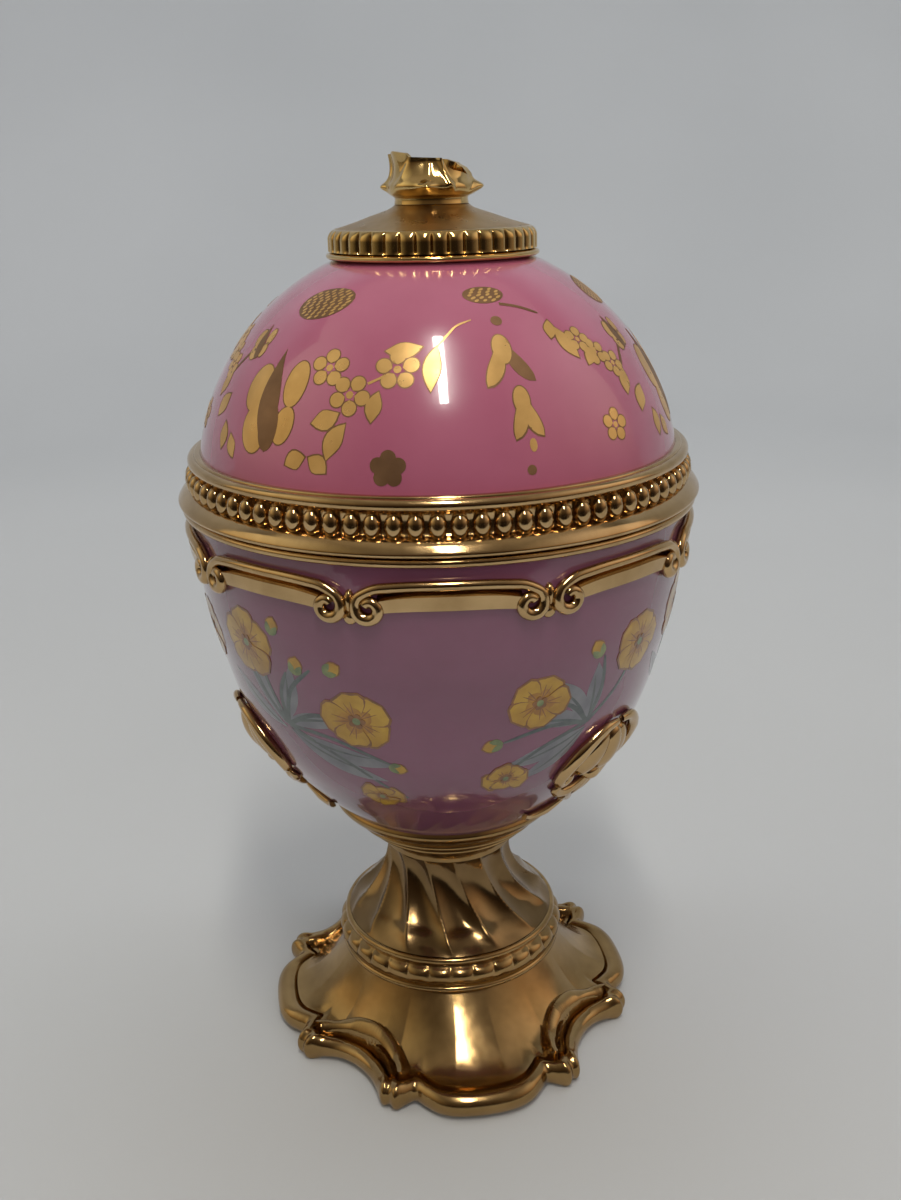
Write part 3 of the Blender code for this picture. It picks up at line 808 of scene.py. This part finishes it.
def painted_flower(paints, where, size, spin, squash):
    """An open flower: overlapping outlined petals, a warm throat and fine veins. squash
    shortens it upwards."""
    for petal in range(PETALS):
        angle = spin + 360.0 * petal / PETALS
        shrink = 1 - (1 - squash) * abs(np.sin(np.radians(angle)))
        length, width = size * shrink, size * 0.47
        lift = 0.05 + 0.022 * petal
        blade(paints["line"], where, (0, 0), angle, length + 0.34, width + 0.38, lift, 12, 1.75)
        blade(paints["yellow"], where, (0, 0), angle, length, width, lift + 0.012, 12, 1.75)
        blade(paints["orange"], where, (0, 0), angle, length * 0.55, width * 0.5, lift + 0.02, 12)
        for vein in (-13, 10):
            blade(paints["line"], where, polar(angle, 0.12 * length), angle + vein,
                  length * 0.58, 0.07, lift + 0.024)
    for stamen in range(PETALS):
        dot(paints["line"], where, polar(spin + 36 + 72 * stamen, 0.16 * size), 0.085 * size, 0.18)
    dot(paints["green"], where, (0, 0), 0.11 * size, 0.19)


def painted_bud(paints, where, angle, size):
    """A bud in its green cup, pointing along an angle."""
    blade(paints["line"], where, (0, 0), angle, size + 0.3, 0.36 * size + 0.2, 0.05, 0, 1.2)
    blade(paints["yellow"], where, (0, 0), angle, size, 0.36 * size, 0.065, 0, 1.2)
    for lean in (-24, 24):
        blade(paints["green"], where, (0, 0), angle + lean, size * 0.72, 0.17 * size, 0.08, -lean)


def cup_spray(paints, skin, middle):
    """One third of the cup's flower painting, about the ornament at a bearing."""
    hub_height = 74.5
    hub = (skin, middle, hub_height)

    def mm(turn, height):
        """Millimetres right and up of the hub."""
        reach = np.interp(hub_height, skin.height, skin.radius)
        run = np.interp([hub_height, height], skin.height, skin.run)
        return np.radians(turn) * reach, run[1] - run[0]

    flowers = ((50, 79.5, 6.4, -35, 0.85), (22, 90.0, 6.2, 25, 1.0), (-28, 82.0, 5.6, 70, 0.9),
               (0, 88.0, 6.0, 10, 0.9), (52, 63.0, 4.4, 15, 0.55), (-34, 67.0, 4.6, 200, 0.6))
    buds = ((31, 93.0, 70, 3.4), (36, 86.5, 75, 3.6), (44, 88.0, 30, 3.4),
            (56, 70.5, -15, 3.0), (-13, 88.0, 120, 3.6), (-36, 75.0, 195, 3.4))
    for turn, height, size, spin, squash in flowers:
        painted_flower(paints, (skin, middle + turn, height), size, spin, squash)
    for turn, height, angle, size in buds:
        painted_bud(paints, (skin, middle + turn, height), angle, size)
    roots = {1: (20, 1.0), -1: (-9, 1.0)}
    for turn, height in (spot[:2] for spot in (*flowers, *buds)):
        side = 1 if turn > 0 else -1
        start, end = np.array(roots[side]), np.array(mm(turn, height))
        bow = 0.1 * side * np.array([start[1] - end[1], end[0] - start[0]])
        curve(paints["teal"], hub, [start, (start + end) / 2 + bow, end], 0.42, 0.035)
    washes = (  # right, up, direction, length, half width, bend
        (20, 0, -12, 19, 1.9, 20), (20, 0, -28, 17, 2.0, 25), (19, 1, 12, 16, 1.5, -20),
        (19, 1, 62, 15, 1.6, 20), (19, 1, 100, 16, 1.9, -25), (19, 0, 140, 14, 1.8, -25),
        (-9, 0, 200, 15, 1.9, -20), (-9, 0, 222, 14, 1.8, -25), (-9, 1, 165, 15, 1.7, 20),
        (-9, 1, 130, 13, 1.6, 20), (-9, 1, 95, 12, 1.8, 20),
    )
    for right, up, angle, length, width, bend in washes:
        blade(paints["wash"], hub, (right, up), angle, length, width, 0.022, bend)
        blade(paints["teal"], hub, (right, up), angle + 2, length * 0.8, 0.22, 0.03, bend)


def paint_cup():
    skin = Skin(cup_line())
    colours = {"yellow": YELLOW, "orange": ORANGE, "line": OCHRE_LINE, "green": GREEN,
               "teal": TEAL, "wash": WASH}
    paints = {name: Batch() for name in colours}
    for middle in ORNAMENTS.values():
        cup_spray(paints, skin, middle)
    for name, batch in paints.items():
        batch.piece("cup_painting_" + name, colours[name], "base", slot="lavender_porcelain")


# ---------------- pedestal

def make_neck():
    top = NECK_TOP
    seat_r = 21.2
    profile = outline(
        (seat_r + 0.1, top + 0.25), (21.9, top + 0.2),
        smooth_line([(21.9, top + 0.2), (22.3, top - 0.8), (21.4, top - 2.1), (19.8, top - 3.3),
                     (18.5, top - 3.75)], 6),
        (18.1, top - 4.05), arc(17.4, top - 4.85, 1.15, 60, -60, 9, 0.75),
        (17.2, top - 5.8), (16.2, top - 6.0), arc(15.4, top - 6.9, 1.05, 70, -60, 9, 0.75),
        (15.0, top - 7.7), (14.2, top - 8.0),
        smooth_line([(14.2, top - 8.0), (13.5, top - 8.9), (13.0, NECK_BASE + 0.8),
                     (12.85, NECK_BASE - 0.25)], 5),
        (BOLT_HOLE, NECK_BASE - 0.25), (BOLT_HOLE, CUP_BASE - 1.4), (14.6, CUP_BASE - 1.4),
        (14.9, CUP_BASE - 0.2),
    )
    turned("neck_mouldings", profile, [PEDESTAL_SHADE_GOLD], "base", ["neck_ring"], steps=240)


def make_stem():
    steps = FLUTES * 24
    bearing = np.linspace(0, 2 * np.pi, steps, endpoint=False)[:, None]
    line = smooth_line([
        (12.6, STEM_TOP), (12.3, 34.5), (12.9, 31.5), (14.3, 28.5), (16.5, 25.7), (18.9, 23.6),
        (20.5, STEM_BASE),
    ], 8)
    down = ((STEM_TOP - line[:, 1]) / (STEM_TOP - STEM_BASE))[None, :]
    phase = np.degrees(bearing) - FLUTE_TWIST * (down - 1) - 1.6
    across = (phase * FLUTES / 360.0) % 1.0
    scoop = 1 - (2 * across - 1) ** 2
    depth = np.interp(down[0], [0, 0.06, 0.45, 0.8, 0.93, 1], [0.3, 0.9, 1.25, 1.6, 0.9, 0.0])
    outer = line[None, :, 0] - depth[None, :] * scoop
    inner = np.array([(16.0, STEM_BASE), (13.2, 25.0), (10.8, 28.5), (9.3, 33.0),
                      (BOLT_HOLE, 34.0), (BOLT_HOLE, STEM_TOP)])
    radius = np.concatenate([outer, np.repeat(inner[None, :, 0], steps, 0)], 1)
    height = np.concatenate([line[:, 1], inner[:, 1]])[None, :]
    grid = place(radius, bearing, height)
    finish_mesh("stem_flutes", ring_bmesh(grid), [STEM_SHADE_GOLD], "base", ["stem"])


def make_knop():
    bearing = np.linspace(0, 2 * np.pi, MILLING * 14, endpoint=False)[:, None]
    profile = outline(
        (19.8, KNOP_TOP + 0.25), (20.5, KNOP_TOP + 0.2), arc(20.6, KNOP_TOP - 0.5, 0.8, 80, -60, 8),
        (20.9, KNOP_TOP - 1.4), arc(20.7, 17.7, KNOP_REACH - 20.8, 68, -62, 16, 1.9),
        (21.3, 15.8), arc(21.3, 15.0, 0.85, 62, -75, 8, 0.75), (20.4, KNOP_BASE - 0.2),
        (13.1, KNOP_BASE - 0.2), (13.1, KNOP_TOP + 0.2),
    )
    reach, level = profile[None, :, 0], profile[None, :, 1]
    boss_z, boss_height, boss_depth = 18.5, 1.3, 0.8
    swell = np.exp(-((level - boss_z) / boss_height) ** 2) * (reach > 19)
    across = (bearing * MILLING / np.pi) % 2 - 1
    radius = reach - boss_depth * swell * (1 - np.sqrt(1 - 0.92 * across ** 2))
    grid = place(radius, bearing, level)
    finish_mesh("knop_ring", ring_bmesh(grid), [PEDESTAL_SHADE_GOLD], "base", ["knop"])


def foot_edge(bearing):
    """Outline radius at a bearing: a lobe, a notch, the two scroll tips and the bay."""
    pitch = 360.0 / LOBES
    turn = np.abs((bearing - LOBE_MIDDLE + pitch / 2) % pitch - pitch / 2)
    fall = smooth_line([
        (0, 0), (8, -0.1), (13, -0.8), (17, -2.2), (20.3, -3.3), (22.8, -1.9), (25.2, -0.5),
        (27.3, -1.1), (29.4, -0.8), (32.5, -3.0), (36.5, -4.9), (41, -5.9), (45, -6.2),
    ], 8)
    reach = LOBE_REACH + LOBE_STRETCH * np.cos(np.radians(2 * (bearing - LOBE_MIDDLE)))
    return turn, reach, reach + np.interp(turn, fall[:, 0], fall[:, 1])


def bay_ridges(radius, turn):
    """How strongly each point lies on the ridges that run up from the scroll tips."""
    away = np.radians(45.0 - turn)
    across, ahead = radius * np.sin(away), radius * np.cos(away)
    ridge = np.zeros_like(radius)
    arches = (  # line, width, rise
        ([(13.4, 36.6), (12.4, 33.5), (10.4, 30.6), (6.8, 28.4), (3.2, 27.5), (0, 27.3)],
         1.45, 1.7),
        ([(10.2, 36.9), (9.2, 34.0), (7.0, 31.8), (4.0, 30.8), (0, 30.5)], 1.3, 1.3),
    )
    for points, width, rise in arches:
        line = smooth_line(points, 6)
        gap = np.min(np.hypot(across[..., None] - line[:, 0], ahead[..., None] - line[:, 1]), -1)
        ridge = np.maximum(ridge, rise * np.sqrt(np.clip(1 - (gap / width) ** 2, 0, 1)))
    return ridge


def make_foot():
    """Four scooped lobes with rolled rims; pairs of ridges arch over the bay between two."""
    steps = 840
    bearing = np.linspace(0, 360, steps, endpoint=False)
    turn, reach, edge = foot_edge(bearing)
    turn, reach, edge = turn[:, None], reach[:, None], edge[:, None]
    in_bay = np.clip((turn - 30) / 8, 0, 1)
    at_tip = np.exp(-((turn - 25.2) / 1.6) ** 2) + np.exp(-((turn - 29.6) / 1.5) ** 2)
    roll = 2.2 - 0.5 * in_bay
    shoulder_r, shoulder_z = 21.2, low("knop") - 0.3
    share = np.linspace(0, 1, 44)[None, :]
    inside_roll = 1.9 * roll
    radius = shoulder_r + (edge - inside_roll - shoulder_r) * share
    settle = 4.3 + 0.9 * in_bay
    plain = reach - inside_roll - 5.5 * np.clip((turn - 8) / 30, 0, 1)
    fall = np.clip((radius - shoulder_r) / (plain - shoulder_r), 0, 1)
    to_rim = np.clip((share - 0.72) / 0.28, 0, 1) ** 2
    height = settle + (shoulder_z - settle) * (
        (1 - to_rim) * (1 - fall) ** 1.7 + to_rim * (1 - share) ** 1.7)
    height = height + bay_ridges(radius, turn) * np.clip(share * 4 - 0.4, 0, 1)
    angle = np.radians(np.linspace(150, -95, 20))[None, :]
    rim_r = edge - roll + roll * np.cos(angle)
    rim_z = roll + 0.15 + (roll + 0.1 + 0.45 * at_tip) * np.sin(angle) + 0.5 * in_bay
    rim_z = np.maximum(rim_z, 0.0)
    under_r = np.concatenate([edge - roll * 1.7, edge - roll * 2.1], 1)
    under_z = np.concatenate([0 * edge, 0 * edge + 1.4], 1)
    fixed = np.array([(24.0, 5.2), (19.5, 9.2), (10.2, 11.2), (10.0, 14.8), (BOLT_HOLE, 14.8),
                      (BOLT_HOLE, FOOT_TOP), (12.8, FOOT_TOP), (12.8, shoulder_z)])
    all_r = np.concatenate([radius, rim_r, under_r, np.repeat(fixed[None, :, 0], steps, 0)], 1)
    all_z = np.concatenate([height, rim_z, under_z, np.repeat(fixed[None, :, 1], steps, 0)], 1)
    grid = place(all_r, np.radians(bearing)[:, None], all_z)
    finish_mesh("rococo_foot", ring_bmesh(grid), [PEDESTAL_SHADE_GOLD], "base", ["foot"])


# ---------------- carried-over hardware

def dress_hardware():
    """The fasteners and seals that show as they are take a finish in their objects' slots."""
    for name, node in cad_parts.items():
        if node.hide_render:
            continue
        for slot in node.material_slots:
            slot.link = "OBJECT"
            slot.material = FELT if name.endswith("gasket") else STEEL


# ---------------- stage, light and camera

def pale_sheet(name, glow):
    """Matt pale paper. glow lifts the wall where no lamp reaches it."""
    material, tree, shader = textured(name, (0.40, 0.41, 0.42), (0.43, 0.44, 0.45), 3.0, 2.0,
                                      roughness=0.75)
    if glow:
        where, split = tree.nodes.new("ShaderNodeTexCoord"), tree.nodes.new("ShaderNodeSeparateXYZ")
        rise = tree.nodes.new("ShaderNodeMapRange")
        rise.inputs["From Max"].default_value = 0.9
        rise.inputs["To Max"].default_value = glow
        tree.links.new(where.outputs["Object"], split.inputs["Vector"])
        tree.links.new(split.outputs["Z"], rise.inputs["Value"])
        tree.links.new(rise.outputs["Result"], shader.inputs["Emission Strength"])
        shader.inputs["Emission Color"].default_value = (0.94, 0.98, 1.0, 1)
    return material


def make_stage():
    """A pale seamless sheet all round: a floor that curves up into a wall. Only the part about
    and behind the object is mirrored in it, so that the gilt keeps a dim room to reflect."""
    middle_y, wall_r, bend, height = -0.5, 1.6, 0.5, 1.7
    mirrored_floor, mirrored_wall = -0.30, 0.35
    turn = np.radians(np.linspace(-90, 0, 16)[1:])
    floor = np.linspace(0, wall_r - bend, 56)
    out = np.concatenate([floor, wall_r - bend + bend * np.cos(turn), [wall_r]])
    up = np.concatenate([0 * floor, bend + bend * np.sin(turn), [height]])
    bearing = np.radians(np.arange(0, 361, 3))[:, None]
    points = place(out / MM, bearing, up / MM) + [0, middle_y, 0]
    faces = sheet_faces(*points.shape[:2])
    points = points.reshape(-1, 3)
    centre = points[faces].mean(1)
    near = centre[:, 1] > np.where(centre[:, 2] > 0, mirrored_wall, mirrored_floor)
    for name, part, mirrored, glow in (("seamless_sheet", near, True, 0.0),
                                       ("seamless_surround", ~near, False, 0.2)):
        shape = welded(points, faces[part], 0.00001)
        loose = [corner for corner in shape.verts if not corner.link_faces]
        bmesh.ops.delete(shape, geom=loose, context="VERTS")
        mesh = bpy.data.meshes.new(name)
        shape.to_mesh(mesh)
        shape.free()
        mesh.materials.append(pale_sheet(name, glow))
        mesh.shade_smooth()
        sheet = bpy.data.objects.new(name, mesh)
        bpy.context.scene.collection.objects.link(sheet)
        sheet.visible_glossy = sheet.visible_diffuse = sheet.visible_shadow = mirrored


def area_light(name, place_at, aim, size, power, colour, mirrored=True):
    """A rectangular lamp. One that isn't mirrored lights the glaze but isn't seen in it."""
    light = bpy.data.lights.new(name, "AREA")
    light.shape = "RECTANGLE"
    light.size, light.size_y = size
    light.energy = power
    light.color = colour
    lamp = bpy.data.objects.new(name, light)
    lamp.location = place_at
    lamp.rotation_euler = (Vector(aim) - Vector(place_at)).to_track_quat("-Z", "Y").to_euler()
    lamp.visible_glossy = mirrored
    lamp.visible_camera = False
    bpy.context.scene.collection.objects.link(lamp)


def make_light():
    middle = (0, 0, 0.12)
    area_light("window_strip", (0.04, -0.46, 1.02), middle, (0.065, 0.60), 5.5, (1, 0.96, 0.88))
    area_light("front_soft", (0.25, -1.5, 0.78), middle, (1.9, 0.9), 7.7, (1.0, 0.98, 0.96), False)
    area_light("ceiling_soft", (0.12, 0.8, 1.3), middle, (1.6, 0.9), 4.6, (0.96, 0.98, 1.0), False)
    area_light("backdrop_wash", (0, 0.2, 1.2), (0, 1.1, 0.35), (1.6, 0.3), 8.6, (0.85, 0.92, 1.0),
               False)
    world = bpy.data.worlds.new("room")
    world.use_nodes = True
    tree = world.node_tree
    where = tree.nodes.new("ShaderNodeTexCoord")
    split = tree.nodes.new("ShaderNodeSeparateXYZ")
    tree.links.new(where.outputs["Generated"], split.inputs["Vector"])
    tones = []
    for axis, stops in (
        ("Z", ((0.30, (0.06, 0.05, 0.04)), (0.52, (0.07, 0.055, 0.045)),
               (0.64, (0.22, 0.165, 0.12)), (0.85, (0.37, 0.33, 0.29)))),
        ("Y", ((0.0, (0.35, 0.31, 0.27)), (0.3, (0.6, 0.58, 0.55)), (0.55, (1.0, 1.0, 1.0)),
               (1.0, (1.0, 1.0, 1.0)))),
        ("X", ((0.0, (3.5, 3.7, 3.1)), (0.28, (0.85, 0.85, 0.8)), (0.72, (0.85, 0.85, 0.85)),
               (1.0, (3.9, 3.9, 3.9)))),
    ):
        shift = tree.nodes.new("ShaderNodeMapRange")
        shift.inputs["From Min"].default_value = -1.0
        tree.links.new(split.outputs[axis], shift.inputs["Value"])
        tones.append(ramp(tree, shift.outputs["Result"], *stops))
    mixed = tones[0]
    for tone in tones[1:]:
        blend = tree.nodes.new("ShaderNodeMixRGB")
        blend.blend_type = "MULTIPLY"
        blend.inputs["Fac"].default_value = 1.0
        tree.links.new(mixed, blend.inputs["Color1"])
        tree.links.new(tone, blend.inputs["Color2"])
        mixed = blend.outputs["Color"]
    tree.links.new(mixed, tree.nodes["Background"].inputs["Color"])
    bpy.context.scene.world = world


def make_camera():
    """Slightly above the lid, looking down, with the photographer's small roll."""
    pitch, roll = 19.4, -1.37
    camera = bpy.data.cameras.new("camera")
    camera.sensor_width = 36.0
    camera.lens = 35.76
    camera.clip_start = 0.01
    holder = bpy.data.objects.new("camera", camera)
    holder.matrix_world = (Matrix.Translation((0.0016, -0.2115, 0.1607))
                           @ Matrix.Rotation(np.radians(90 - pitch), 4, "X")
                           @ Matrix.Rotation(np.radians(roll), 4, "Z"))
    bpy.context.scene.collection.objects.link(holder)
    bpy.context.scene.camera = holder


make_camera()
make_dome()
make_collar()
make_finial_disc()
make_crown()
make_cup()
make_rim_band()
make_swags()
make_ornaments()
paint_lid()
paint_cup()
make_neck()
make_stem()
make_knop()
make_foot()
dress_hardware()
make_stage()
make_light()
bpy.context.scene.view_settings.view_transform = "Standard"
